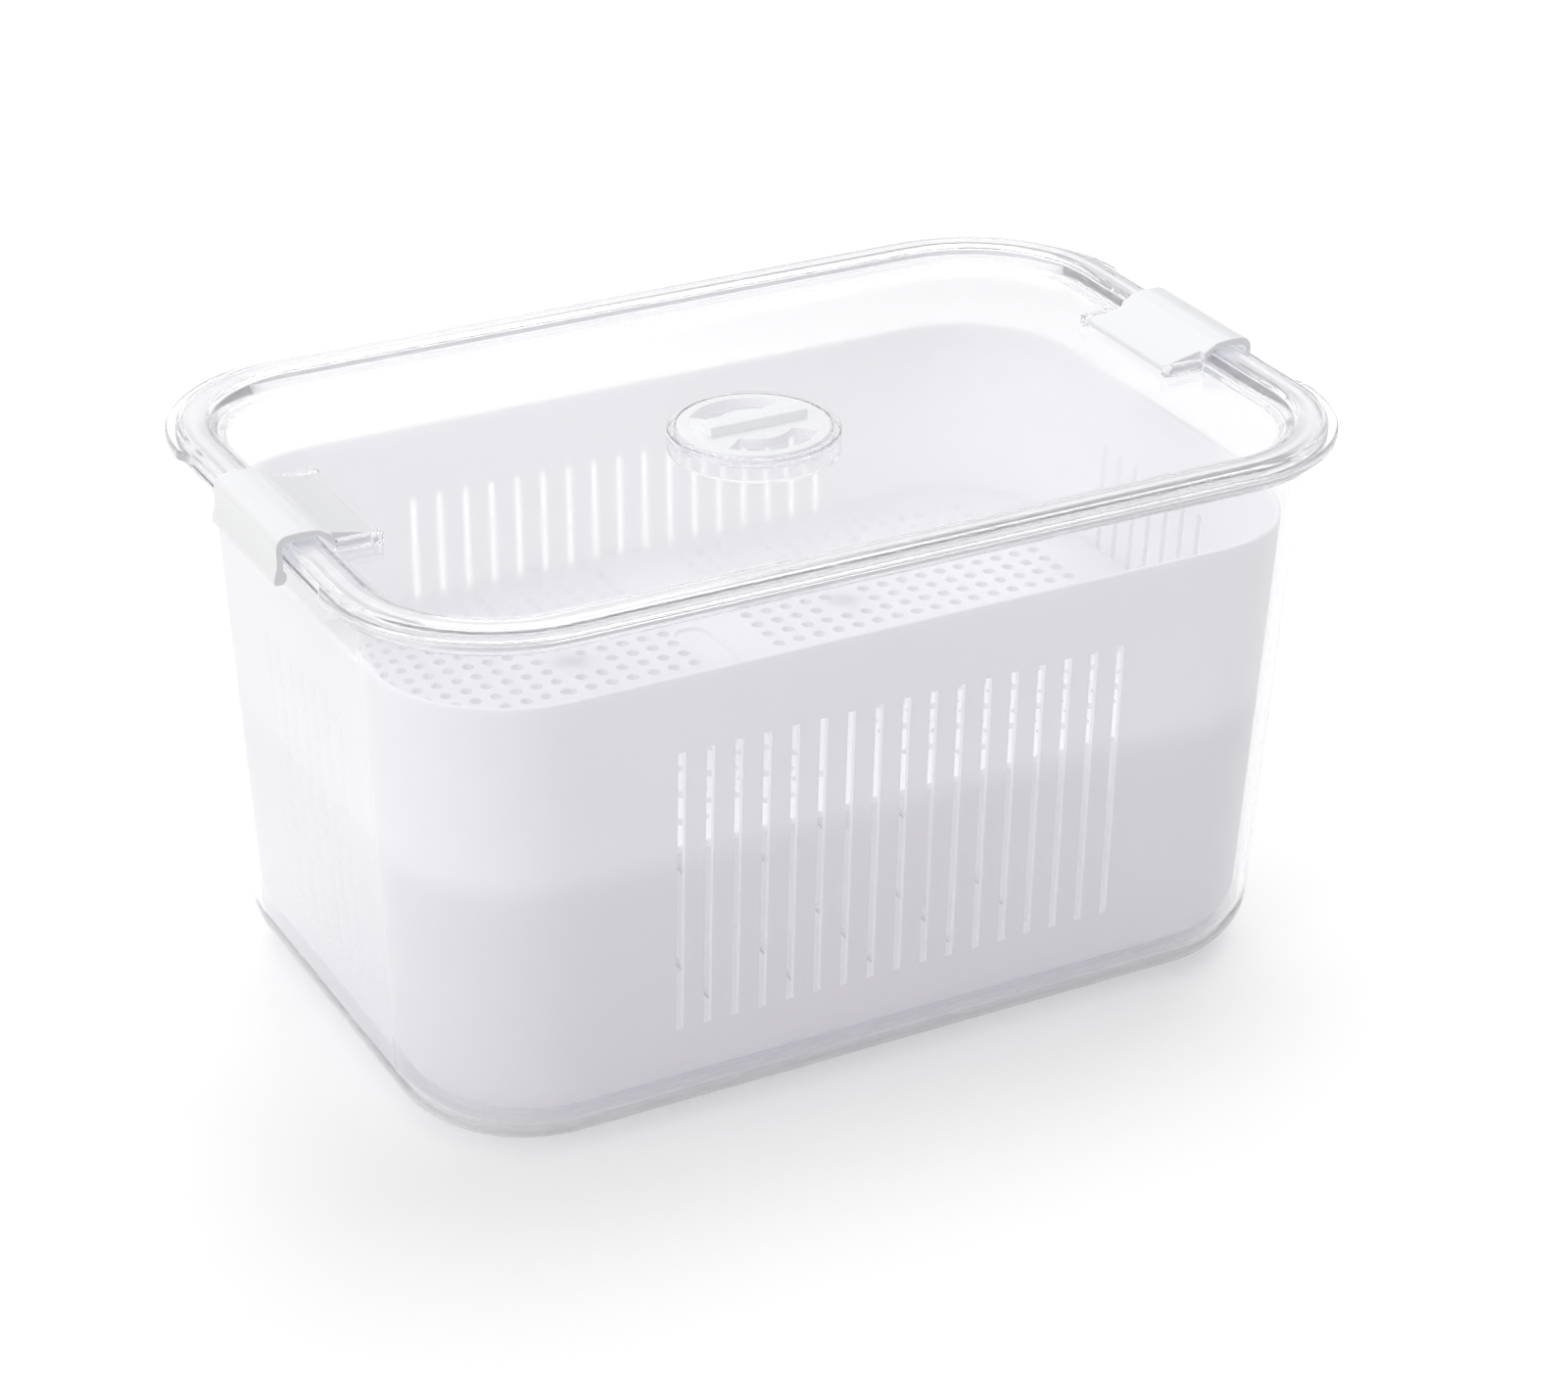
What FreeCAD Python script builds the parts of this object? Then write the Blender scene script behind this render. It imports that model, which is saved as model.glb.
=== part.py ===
import FreeCAD, Part
import math
import os
from FreeCAD import Vector

# Produce keeper: a clear lidded bin with a drain basket and a raised drain plate inside.
# Origin at the centre of the standing face, X along the length, Y to the back, Z up, millimetres.

# Outer bin, a drafted tub with rounded corners and a flange round its mouth
base_length = 244.8
base_width = 158.8
base_corner = 35.8
mouth_length = 260.0
mouth_width = 166.0
mouth_corner = 37.0
bin_height = 146.2
bin_wall = 2.0
bin_floor = 3.0
base_rounding = 14.0
flange_reach = 5.3
flange_thickness = 2.2

# Drain basket, standing on four feet on the floor of the bin
basket_headroom = 20.2
basket_wall = 1.4
basket_floor = 1.8
basket_rounding = 12.0
basket_side_gap = 0.65
basket_end_gap = 2.2
seat_gap = 0.1
basket_foot_height = 4.9
basket_foot_size = 9.0
basket_foot_spacing_x = 140.0
basket_foot_spacing_y = 80.0
slit_width = 2.1
slit_pitch = 7.67
slit_start = 19.4
slit_rim_margin = 20.5
side_slit_count = 17
end_slit_count = 7
floor_slot_length = 34.0
floor_slot_pitch = 23.0
floor_slot_count = 6
floor_slot_row_spacing = 60.0

# Drain plate, a perforated shelf on four cross-ribbed legs
plate_thickness = 2.0
plate_gap = 1.6
leg_length = 66.0
leg_width = 8.4
leg_rib = 1.8
leg_spacing_x = 81.0
leg_spacing_y = 48.0
leg_clear_radius = 7.0
hole_size = 3.6
hole_pitch_x = 15.0
hole_pitch_y = 14.5
field_margin = 9.0
blank_band_width = 20.0
grip_length = 57.0
grip_width = 9.6
grip_depth = 0.8
grip_offset = 5.8

# Lid, a sunk panel inside a raised bead that bridges the mouth of the bin
lid_gap = 0.3
plug_gap = 0.6
groove_width = 5.8
bead_roof = 2.0
bead_outer_wall = 1.8
crown_height = 0.4
bead_shoulder = 0.9
slope_run = 4.5
bead_lap = 1.5
panel_depth = 4.6
panel_thickness = 2.0
lid_overhang = 7.8
skirt_height = 2.5
notch_length = 81.0
notch_flare = 5.0

# Lid seal, a flat ring in the groove under the bead
seal_height = 2.1
seal_gap = 0.1
seal_side_gap = 0.25

# Side clips, hinged on the panel and hooked under the flange
clip_plate_length = 36.6
clip_arch_length = 40.4
clip_gap = 0.35
clip_reach = 1.2
clip_wall = 1.7
clip_drop = 10.3
clip_flare = 0.8
clip_shoulder = 3.0
nib_gap = 0.15
nib_height = 1.4
nib_clear = 0.6
tip_height = 1.6
flare_rise = 3.2
knuckle_radius = 0.9
hinge_setback = 10.2
trunnion_radius = 0.75
trunnion_length = 2.0
trunnion_clearance = 0.07
lug_thickness = 2.6
lug_gap = 0.3
lug_height = 3.0
lug_overhang = 2.0
lug_chamfer = 1.2

# Vent, a turning dial in a round well at the middle of the panel
well_radius = 20.2
well_wall = 2.1
well_lip = 0.6
well_depth = 1.9
well_floor = 1.7
dial_side_gap = 0.45
dial_rise = 0.9
dial_floor_gap = 0.3
bar_length = 28.0
bar_width = 6.0
bar_height = 2.7
bar_chamfer = 0.8
dial_window_inner_radius = 9.7
dial_window_outer_radius = 17.0
dial_window_angle = 100.0
lid_window_margin = 0.3
lid_window_angle = 66.0
stem_radius = 4.0
stem_clearance = 0.08
snap_reach = 1.0
snap_height = 1.3
snap_gap = 0.2

# Values shared by the whole model
overrun = 1.0
rounding_steps = 3
half_share = 0.5
touching = 1e-6
quarter_turn = 90.0


def rounded_wire(corners, place):
    """Closed wire through (u, v, radius) corners, each one rounded by a tangent arc."""
    flat = [Vector(u, v, 0) for u, v, radius in corners]
    edges = []
    ends = []
    for i, (u, v, radius) in enumerate(corners):
        corner = flat[i]
        back = (flat[i - 1] - corner).normalize()
        ahead = (flat[(i + 1) % len(flat)] - corner).normalize()
        half_angle = back.getAngle(ahead) * half_share
        tangent = radius / math.tan(half_angle)
        start = corner + back * tangent
        end = corner + ahead * tangent
        if radius > 0:
            inward = (back + ahead).normalize()
            middle = corner + inward * (radius / math.sin(half_angle) - radius)
        else:
            middle = corner
        ends.append((start, middle, end, radius))
    for i, (start, middle, end, radius) in enumerate(ends):
        before = ends[i - 1][2]
        if before.distanceToPoint(start) > touching:
            edges.append(Part.LineSegment(place(before), place(start)).toShape())
        if radius > 0:
            edges.append(Part.Arc(place(start), place(middle), place(end)).toShape())
    return Part.Wire(edges)


def plan(length, width, corner, level):
    """Rounded rectangle about the Z axis at one level."""
    x = length * half_share
    y = width * half_share
    corners = [(-x, -y, corner), (x, -y, corner), (x, y, corner), (-x, y, corner)]
    return rounded_wire(corners, lambda point: Vector(point.x, point.y, level))


def prism(wire, height):
    return Part.Face(wire).extrude(Vector(0, 0, height))


def drafted(outlines):
    """Solid through a stack of like outlines, with flat sides and ruled corners."""
    faces = [Part.Face(outlines[0]), Part.Face(outlines[-1])]
    for low, high in zip(outlines, outlines[1:]):
        for first, second in zip(low.Edges, high.Edges):
            if isinstance(first.Curve, Part.Line):
                a, b = first.Vertexes
                c, d = second.Vertexes
                loop = Part.makePolygon([a.Point, b.Point, d.Point, c.Point, a.Point])
                faces.append(Part.Face(loop))
            else:
                faces.append(Part.makeRuledSurface(first, second))
    shell = Part.makeShell(faces)
    shell.sewShape()
    return Part.makeSolid(shell)


def block(low_x, low_y, low_z, size_x, size_y, size_z):
    return Part.makeBox(size_x, size_y, size_z, Vector(low_x, low_y, low_z))


def edges_at(shape, level):
    """Edges that lie flat at one level."""
    return [e for e in shape.Edges if max(abs(v.Z - level) for v in e.Vertexes) < touching]


def four_places(spacing_x, spacing_y):
    return [(x, y) for x in row(2, spacing_x) for y in row(2, spacing_y)]


def row(count, pitch):
    """Centres of an evenly spaced row about zero."""
    first = -(count - 1) * pitch * half_share
    return [first + i * pitch for i in range(count)]


def sector(inner_radius, outer_radius, angle, middle_angle, level, height):
    """Block shaped as part of a ring, about the Z axis."""
    start = middle_angle - angle * half_share
    whole = Part.makeCylinder(outer_radius, height, Vector(0, 0, level), Vector(0, 0, 1), angle)
    core = Part.makeCylinder(inner_radius, height, Vector(0, 0, level), Vector(0, 0, 1), angle)
    piece = whole.cut(core)
    piece.rotate(Vector(0, 0, 0), Vector(0, 0, 1), start)
    return piece


def bin_size(level):
    """Length, width and corner radius of the bin's outer wall at a level."""
    share = level / bin_height
    length = base_length + (mouth_length - base_length) * share
    width = base_width + (mouth_width - base_width) * share
    corner = base_corner + (mouth_corner - base_corner) * share
    return length, width, corner


def bin_plan(level, end_inset, side_inset):
    """Outline of the bin's outer wall at a level, drawn in by an inset at the ends and sides."""
    length, width, corner = bin_size(level)
    return plan(length - 2 * end_inset, width - 2 * side_inset, corner - side_inset, level)


def mouth_plan(offset, level):
    """Outline that runs an offset outside the bin's outer wall at its mouth."""
    return plan(mouth_length + 2 * offset, mouth_width + 2 * offset, mouth_corner + offset, level)


def rounded_tub(low, high, end_inset, side_inset, rounding):
    """Drafted block inside the bin's outline, with its lower edge rounded in flat steps."""
    outlines = []
    for i in range(rounding_steps + 1):
        angle = math.radians(quarter_turn * i / rounding_steps)
        inset = rounding * (1 - math.sin(angle))
        level = low + rounding * (1 - math.cos(angle))
        outlines.append(bin_plan(level, end_inset + inset, side_inset + inset))
    outlines.append(bin_plan(high, end_inset, side_inset))
    return drafted(outlines)


def mouth_ring(section):
    """Ring of one section, given as (offset outside the wall, level, radius), round the mouth."""
    x = mouth_length * half_share - mouth_corner
    y = mouth_width * half_share - mouth_corner
    centres = [Vector(x, -y, 0), Vector(x, y, 0), Vector(-x, y, 0), Vector(-x, -y, 0)]
    pieces = []
    for i, centre in enumerate(centres):
        faces = []
        for turn in (i - 1, i):
            angle = math.radians(quarter_turn * turn)
            outward = Vector(math.cos(angle), math.sin(angle), 0)

            def place(point):
                return centre + outward * (mouth_corner + point.x) + Vector(0, 0, point.y)

            faces.append(Part.Face(rounded_wire(section, place)))
        pieces.append(faces[0].revolve(centre, Vector(0, 0, 1), quarter_turn))
        pieces.append(faces[1].extrude(centres[(i + 1) % len(centres)] - centre))
    return pieces[0].fuse(pieces[1:]).removeSplitter()


# Levels and offsets that several pieces share
basket_base = bin_floor + seat_gap + basket_foot_height
basket_rim = bin_height - basket_headroom
plate_under = basket_base + basket_floor + seat_gap + leg_length
plate_top = plate_under + plate_thickness
groove_top = bin_height + seal_gap + seal_height + seal_gap
bead_top = groove_top + bead_roof
panel_top = bead_top - panel_depth
panel_under = panel_top - panel_thickness
edge_under = bin_height + lid_gap
skirt_top = edge_under + skirt_height
plug_face = -(bin_wall + plug_gap)
groove_face = plug_face + groove_width
bead_face = groove_face + bead_outer_wall
slope_foot = plug_face - slope_run
mouth_x = mouth_length * half_share
clip_under = panel_top + clip_gap
hinge_level = clip_under + knuckle_radius
hinge_offset = slope_foot - hinge_setback
hinge_x = mouth_x + hinge_offset
well_top = panel_top + well_lip
well_bed = panel_top - well_depth
well_under = well_bed - well_floor
dial_radius = well_radius - dial_side_gap
dial_under = well_bed + dial_floor_gap
dial_top = panel_top + dial_rise


def make_outer_bin():
    shell = rounded_tub(0, bin_height, 0, 0, base_rounding)
    flange = prism(mouth_plan(flange_reach, bin_height - flange_thickness), flange_thickness)
    inner_rounding = base_rounding - bin_wall
    hollow = rounded_tub(bin_floor, bin_height + overrun, bin_wall, bin_wall, inner_rounding)
    return shell.fuse(flange).cut(hollow).removeSplitter()


def make_drain_basket():
    side = bin_wall + basket_side_gap
    end = bin_wall + basket_end_gap
    body = rounded_tub(basket_base, basket_rim, end, side, basket_rounding)
    low = basket_base + basket_floor
    high = basket_rim + overrun
    inner_rounding = basket_rounding - basket_wall
    hollow = rounded_tub(low, high, end + basket_wall, side + basket_wall, inner_rounding)
    cuts = [hollow]
    slit_low = basket_base + slit_start
    slit_height = basket_rim - slit_rim_margin - slit_low
    for x in row(side_slit_count, slit_pitch):
        left = x - slit_width * half_share
        cuts.append(block(left, -mouth_width, slit_low, slit_width, 2 * mouth_width, slit_height))
    for y in row(end_slit_count, slit_pitch):
        front = y - slit_width * half_share
        cuts.append(block(-mouth_length, front, slit_low, 2 * mouth_length, slit_width, slit_height))
    slot_drop = basket_base - overrun
    slot_depth = basket_floor + 2 * overrun
    for x in row(floor_slot_count, floor_slot_pitch):
        for y in row(2, floor_slot_row_spacing):
            left = x - slit_width * half_share
            front = y - floor_slot_length * half_share
            cuts.append(block(left, front, slot_drop, slit_width, floor_slot_length, slot_depth))
    feet = []
    foot_inset = basket_foot_size * half_share
    foot_low = basket_base - basket_foot_height
    for x, y in four_places(basket_foot_spacing_x, basket_foot_spacing_y):
        feet.append(block(x - foot_inset, y - foot_inset, foot_low,
                          basket_foot_size, basket_foot_size, basket_foot_height))
    return body.cut(cuts).fuse(feet).removeSplitter()


def plate_size():
    """Length, width and corner radius of the drain plate inside the basket."""
    length, width, corner = bin_size(plate_under)
    end = bin_wall + basket_end_gap + basket_wall + plate_gap
    side = bin_wall + basket_side_gap + basket_wall + plate_gap
    return length - 2 * end, width - 2 * side, corner - side


def hole_places():
    """Places of the drain holes, in two fields either side of the blank middle band."""
    length, width, corner = plate_size()
    reach_x = length * half_share - field_margin
    reach_y = width * half_share - field_margin
    bend = corner - field_margin
    columns = int((reach_x - blank_band_width * half_share) / hole_pitch_x)
    rows = int(reach_y / hole_pitch_y)
    places = []
    for i in range(columns + 1):
        x = blank_band_width * half_share + i * hole_pitch_x
        for y in row(2 * rows, hole_pitch_y):
            over_x = max(x - (reach_x - bend), 0)
            over_y = max(abs(y) - (reach_y - bend), 0)
            in_field = math.hypot(over_x, over_y) <= bend
            leg_x = x - leg_spacing_x * half_share
            leg_y = abs(y) - leg_spacing_y * half_share
            if in_field and math.hypot(leg_x, leg_y) > leg_clear_radius:
                places.extend([(x, y), (-x, y)])
    return places


def make_drain_plate():
    length, width, corner = plate_size()
    plate = prism(plan(length, width, corner, plate_under), plate_thickness)
    grip_corner = grip_width * half_share - grip_depth
    grip = prism(plan(grip_width, grip_length, grip_corner, plate_top - grip_depth), grip_depth)
    grip.translate(FreeCAD.Vector(-grip_offset, 0, 0))
    cuts = [grip]
    for x, y in hole_places():
        left = x - hole_size * half_share
        front = y - hole_size * half_share
        cuts.append(block(left, front, plate_under, hole_size, hole_size, plate_thickness))
    return plate.cut(cuts)


def make_plate_legs():
    low = plate_under - leg_length
    wide = leg_width * half_share
    thin = leg_rib * half_share
    legs = []
    for x, y in four_places(leg_spacing_x, leg_spacing_y):
        along = block(x - wide, y - thin, low, leg_width, leg_rib, leg_length)
        across = block(x - thin, y - wide, low, leg_rib, leg_width, leg_length)
        legs.append(along.fuse(across).removeSplitter())
    return Part.makeCompound(legs)


def bead_outline(gap):
    """Upper outline of the bead from its outer face to the panel, raised by a gap."""
    middle = (plug_face + bead_face) * half_share
    return [
        (bead_face, bead_top - bead_shoulder + gap, 0),
        (bead_face - bead_shoulder, bead_top + gap, 0),
        (middle, bead_top + crown_height + gap, 0),
        (plug_face, bead_top + gap, 0),
        (plug_face - bead_shoulder - gap, bead_top - bead_shoulder + gap, 0),
        (slope_foot - gap, panel_top + gap, 0),
    ]


def bead_section():
    """Section of the lid's edge: panel margin, plug, seal groove, skirt and bead."""
    inner = slope_foot - bead_lap
    return [
        (inner, panel_under, 0),
        (plug_face, panel_under, 0),
        (plug_face, groove_top, 0),
        (groove_face, groove_top, 0),
        (groove_face, edge_under, 0),
        (lid_overhang, edge_under, 0),
        (lid_overhang, skirt_top, 0),
        (bead_face, skirt_top, 0),
        *bead_outline(0),
        (inner, panel_top, 0),
    ]


def clip_notch():
    """Plan of the stretch at the right end where the skirt stops short for the clip."""
    inside = mouth_x + bead_face
    outside = mouth_x + lid_overhang + overrun
    near = notch_length * half_share
    far = near + notch_flare
    return [(inside, -near, 0), (outside, -far, 0), (outside, far, 0), (inside, near, 0)]


def clip_lug(front):
    """Low ear on the panel that takes one of the clip's trunnions, at the right end."""
    left = hinge_x - lug_overhang
    right = mouth_x + slope_foot
    bottom = panel_top - panel_thickness * half_share
    top = panel_top + lug_height
    outline = [
        (left, bottom, 0),
        (right, bottom, 0),
        (right, top, 0),
        (left + lug_chamfer, top, 0),
        (left, top - lug_chamfer, 0),
    ]
    wire = rounded_wire(outline, lambda point: Vector(point.x, front, point.y))
    bore_start = Vector(hinge_x, front, hinge_level)
    bore_radius = trunnion_radius + trunnion_clearance
    ear = Part.Face(wire).extrude(Vector(0, lug_thickness, 0))
    return ear, Part.makeCylinder(bore_radius, lug_thickness, bore_start, Vector(0, 1, 0))


def both_ends(shape):
    return [shape, shape.mirror(Vector(0, 0, 0), Vector(1, 0, 0))]


def make_lid():
    panel_edge = slope_foot - bead_lap * half_share
    panel = prism(mouth_plan(panel_edge, panel_under), panel_thickness)
    well_rim = Part.makeCylinder(well_radius + well_wall, well_top - well_under, Vector(0, 0, well_under))
    pocket = Part.makeCylinder(well_radius, well_top - well_bed, Vector(0, 0, well_bed))
    bore_radius = stem_radius + stem_clearance
    stem_bore = Part.makeCylinder(bore_radius, well_floor, Vector(0, 0, well_under))
    cuts = [pocket, stem_bore]
    inner_radius = dial_window_inner_radius + lid_window_margin
    outer_radius = dial_window_outer_radius - lid_window_margin
    for middle in (0, 2 * quarter_turn):
        cuts.append(sector(inner_radius, outer_radius, lid_window_angle, middle, well_under, well_floor))
    bottom = edge_under - overrun
    notch_wire = rounded_wire(clip_notch(), lambda point: Vector(point.x, point.y, bottom))
    notch = prism(notch_wire, bead_top - bottom)
    cuts.extend(both_ends(notch))
    plate_end = clip_plate_length * half_share + lug_gap
    lugs = []
    for front in (plate_end, -plate_end - lug_thickness):
        ear, bore = clip_lug(front)
        lugs.extend(both_ends(ear))
        cuts.extend(both_ends(bore))
    return mouth_ring(bead_section()).fuse([panel, well_rim] + lugs).cut(cuts).removeSplitter()


def make_lid_seal():
    inner = plug_face + seal_side_gap
    outer = groove_face - seal_side_gap
    low = bin_height + seal_gap
    high = low + seal_height
    return mouth_ring([(inner, high, 0), (outer, high, 0), (outer, low, 0), (inner, low, 0)])


def clip_section():
    """Section of a clip, from its hinge plate up the ramp, over the bead and down to the nib."""
    inside = bead_face + clip_reach
    outside = inside + clip_wall
    middle = (plug_face + bead_face) * half_share
    crown = bead_top + crown_height + clip_gap
    tip = bead_top - clip_drop
    nib_face = flange_reach + nib_gap
    nib_top = bin_height - flange_thickness - nib_clear
    nib_low = nib_top - nib_clear - nib_height
    under = bead_outline(clip_gap)[1:]
    under.reverse()
    return [
        (hinge_offset, clip_under, 0),
        *under,
        (inside, bead_top - bead_shoulder + clip_gap, 0),
        (inside, nib_top, 0),
        (nib_face, nib_top - nib_clear, 0),
        (nib_face, nib_low, 0),
        (inside, tip, 0),
        (outside + clip_flare, tip, 0),
        (outside + clip_flare, tip + tip_height, 0),
        (outside, tip + tip_height + flare_rise, 0),
        (outside, crown + clip_wall - crown_height, clip_shoulder),
        (middle, crown + clip_wall, 0),
        (plug_face, bead_top + clip_gap + clip_wall, clip_shoulder),
        (hinge_offset, hinge_level + knuckle_radius, 0),
    ]


def clip_slab(length):
    start = -length * half_share
    wire = rounded_wire(clip_section(), lambda point: Vector(mouth_x + point.x, start, point.y))
    return Part.Face(wire).extrude(Vector(0, length, 0))


def make_right_clip():
    arch_start = mouth_x + slope_foot + clip_gap
    tall = bead_top + clip_drop
    arch_space = block(arch_start, -clip_arch_length, 0, mouth_x, 2 * clip_arch_length, tall)
    arch = clip_slab(clip_arch_length).common(arch_space)
    plate = clip_slab(clip_plate_length)
    along = Vector(0, 1, 0)
    knuckle_start = Vector(hinge_x, -clip_plate_length * half_share, hinge_level)
    knuckle = Part.makeCylinder(knuckle_radius, clip_plate_length, knuckle_start, along)
    pin_length = clip_plate_length + 2 * trunnion_length
    pin = Part.makeCylinder(trunnion_radius, pin_length, knuckle_start - along * trunnion_length, along)
    return plate.fuse([arch, knuckle, pin]).removeSplitter()


def make_left_clip():
    return make_right_clip().mirror(Vector(0, 0, 0), Vector(1, 0, 0))


def make_vent_dial():
    disc = Part.makeCylinder(dial_radius, dial_top - dial_under, Vector(0, 0, dial_under))
    bar = block(-bar_length * half_share, -bar_width * half_share, dial_top,
                bar_length, bar_width, bar_height)
    bar = bar.makeChamfer(bar_chamfer, edges_at(bar, dial_top + bar_height))
    snap_top = well_under - snap_gap
    stem_low = snap_top - snap_height
    stem = Part.makeCylinder(stem_radius, dial_under - stem_low, Vector(0, 0, stem_low))
    snap_radius = stem_radius + snap_reach
    snap = Part.makeCylinder(snap_radius, snap_height, Vector(0, 0, stem_low))
    cuts = []
    for middle in (quarter_turn, -quarter_turn):
        cuts.append(sector(dial_window_inner_radius, dial_window_outer_radius, dial_window_angle,
                           middle, dial_under, dial_top - dial_under))
    return disc.cut(cuts).fuse([bar, stem, snap]).removeSplitter()


pieces = {
    "outer_bin": make_outer_bin,
    "drain_basket": make_drain_basket,
    "drain_plate": make_drain_plate,
    "plate_legs": make_plate_legs,
    "lid": make_lid,
    "lid_seal": make_lid_seal,
    "left_clip": make_left_clip,
    "right_clip": make_right_clip,
    "vent_dial": make_vent_dial,
}
os.makedirs("parts", exist_ok=True)
for name, make in pieces.items():
    shape = make()
    shape.exportStep(os.path.join("parts", name + ".step"))
    print(name, "solids", len(shape.Solids), "valid", shape.isValid(), "volume", round(shape.Volume))
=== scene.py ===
import math

import bmesh
import bpy
from mathutils import Matrix, Vector


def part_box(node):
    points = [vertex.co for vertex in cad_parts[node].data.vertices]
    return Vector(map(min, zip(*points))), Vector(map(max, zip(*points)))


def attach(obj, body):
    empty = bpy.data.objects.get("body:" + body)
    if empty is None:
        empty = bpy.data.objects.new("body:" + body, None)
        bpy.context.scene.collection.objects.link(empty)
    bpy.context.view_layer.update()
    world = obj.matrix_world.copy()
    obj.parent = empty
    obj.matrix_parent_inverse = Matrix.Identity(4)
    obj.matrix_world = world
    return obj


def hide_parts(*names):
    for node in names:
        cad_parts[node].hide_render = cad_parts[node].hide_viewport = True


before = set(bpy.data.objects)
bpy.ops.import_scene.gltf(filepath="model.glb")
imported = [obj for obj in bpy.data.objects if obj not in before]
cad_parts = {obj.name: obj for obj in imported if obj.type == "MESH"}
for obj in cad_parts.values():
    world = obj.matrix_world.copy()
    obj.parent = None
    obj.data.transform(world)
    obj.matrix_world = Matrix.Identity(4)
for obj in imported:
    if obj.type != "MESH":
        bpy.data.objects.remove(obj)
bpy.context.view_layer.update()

# Outer bin
# The clear tub that the rest stands in, moulded in one piece from hard clear plastic.
# Its walls lean out, its rolled lower edge is satin and a flat flange runs round the mouth.
mm = 0.001
quarter_turn = math.pi / 2
bin_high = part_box("outer_bin")[1]
bin_height = bin_high.z
flange_reach = 5.3 * mm
flange_thickness = 2.2 * mm
flange_easing = 0.7 * mm
mouth_half_long = bin_high.x - flange_reach
mouth_half_short = bin_high.y - flange_reach
mouth_corner = 37.0 * mm
end_lean = 7.6 * mm
side_lean = 3.6 * mm
corner_lean = 1.2 * mm
bin_wall = 2.0 * mm
bin_floor = 3.0 * mm
base_rounding = 14.0 * mm
base_flat_start = 24.0 * mm
corner_steps = 20


def bin_size(level):
    """Half length, half width and corner radius of the bin's outer wall at a level."""
    drop = 1 - level / bin_height
    half_long = mouth_half_long - end_lean * drop
    half_short = mouth_half_short - side_lean * drop
    return half_long, half_short, mouth_corner - corner_lean * drop


def stops_round(long_places=(), short_places=()):
    """Stops round a rounded rectangle: a side with a place along it, or a corner with an angle."""
    stops = []
    for side in range(4):
        places = short_places if side % 2 else long_places
        stops += [(side, place, None) for place in places]
        stops += [(side, None, quarter_turn * i / corner_steps) for i in range(corner_steps + 1)]
    return stops


def stop_point(stop, half_long, half_short, corner, level):
    """Point of a rounded rectangle at one of its stops."""
    side, place, turn = stop
    along = Vector((math.cos(side * quarter_turn), math.sin(side * quarter_turn), 0))
    outward = Vector((along.y, -along.x, 0))
    reach, run = (half_long, half_short) if side % 2 else (half_short, half_long)
    if turn is None:
        point = outward * reach + along * place
    else:
        bend = outward * math.cos(turn) + along * math.sin(turn)
        point = outward * (reach - corner) + along * (run - corner) + bend * corner
    return point + Vector((0, 0, level))


def wall_point(stop, level, end_offset, side_offset):
    """Point that lies an offset outside the bin's wall, at one stop and level."""
    half_long, half_short, corner = bin_size(level)
    return stop_point(stop, half_long + end_offset, half_short + side_offset,
                      corner + side_offset, level)


def eased(corners, steps=5, closed=False):
    """Points along an outline of (across, level, radius) corners, each corner eased by an arc."""
    points = []
    for i, (across, level, radius) in enumerate(corners):
        corner = Vector((across, level))
        if radius == 0:
            points.append(corner)
            continue
        back = (Vector(corners[i - 1][:2]) - corner).normalized()
        ahead = (Vector(corners[(i + 1) % len(corners)][:2]) - corner).normalized()
        half_angle = back.angle(ahead) / 2
        centre = corner + (back + ahead).normalized() * (radius / math.sin(half_angle))
        start = corner + back * (radius / math.tan(half_angle)) - centre
        sweep = math.copysign(math.pi - 2 * half_angle, -back.cross(ahead))
        for step in range(steps + 1):
            points.append(centre + Matrix.Rotation(sweep * step / steps, 2) @ start)
    return points + points[:1] if closed else points


def skin(mesh, loops, smooth=True):
    """Quads between each loop of points and the next. Gives back the loops as vertices."""
    rows = [[mesh.verts.new(point) for point in loop] for loop in loops]
    for low, high in zip(rows, rows[1:]):
        for i in range(len(low)):
            mesh.faces.new((low[i - 1], low[i], high[i], high[i - 1])).smooth = smooth
    return rows


def flat_sheet(mesh, outer, holes=()):
    """Fills the flat area inside one loop of vertices and outside the other loops."""
    edges = []
    for loop in (outer, *holes):
        for i in range(len(loop)):
            pair = (loop[i - 1], loop[i])
            edges.append(mesh.edges.get(pair) or mesh.edges.new(pair))
    bmesh.ops.triangle_fill(mesh, use_beauty=True, edges=edges)


def make_piece(name, mesh, material):
    """Object of a closed mesh, smooth round its eased edges and flat on its flat faces."""
    bmesh.ops.remove_doubles(mesh, verts=mesh.verts, dist=touching)
    bmesh.ops.recalc_face_normals(mesh, faces=mesh.faces)
    for edge in mesh.edges:
        edge.smooth = edge.calc_face_angle(0) < sharp_angle
    data = bpy.data.meshes.new(name)
    mesh.to_mesh(data)
    mesh.free()
    data.materials.append(material)
    made = bpy.data.objects.new(name, data)
    bpy.context.scene.collection.objects.link(made)
    weights = made.modifiers.new("flat_faces", "WEIGHTED_NORMAL")
    weights.weight = flat_face_weight
    weights.keep_sharp = True
    return made


def add_noise(material, scale, detail):
    """Noise over the object's own coordinates, with its scale in cells per metre."""
    nodes = material.node_tree.nodes
    place = nodes.new("ShaderNodeTexCoord")
    noise = nodes.new("ShaderNodeTexNoise")
    noise.inputs["Scale"].default_value = scale
    noise.inputs["Detail"].default_value = detail
    material.node_tree.links.new(place.outputs["Object"], noise.inputs["Vector"])
    return noise.outputs["Fac"]


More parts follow.
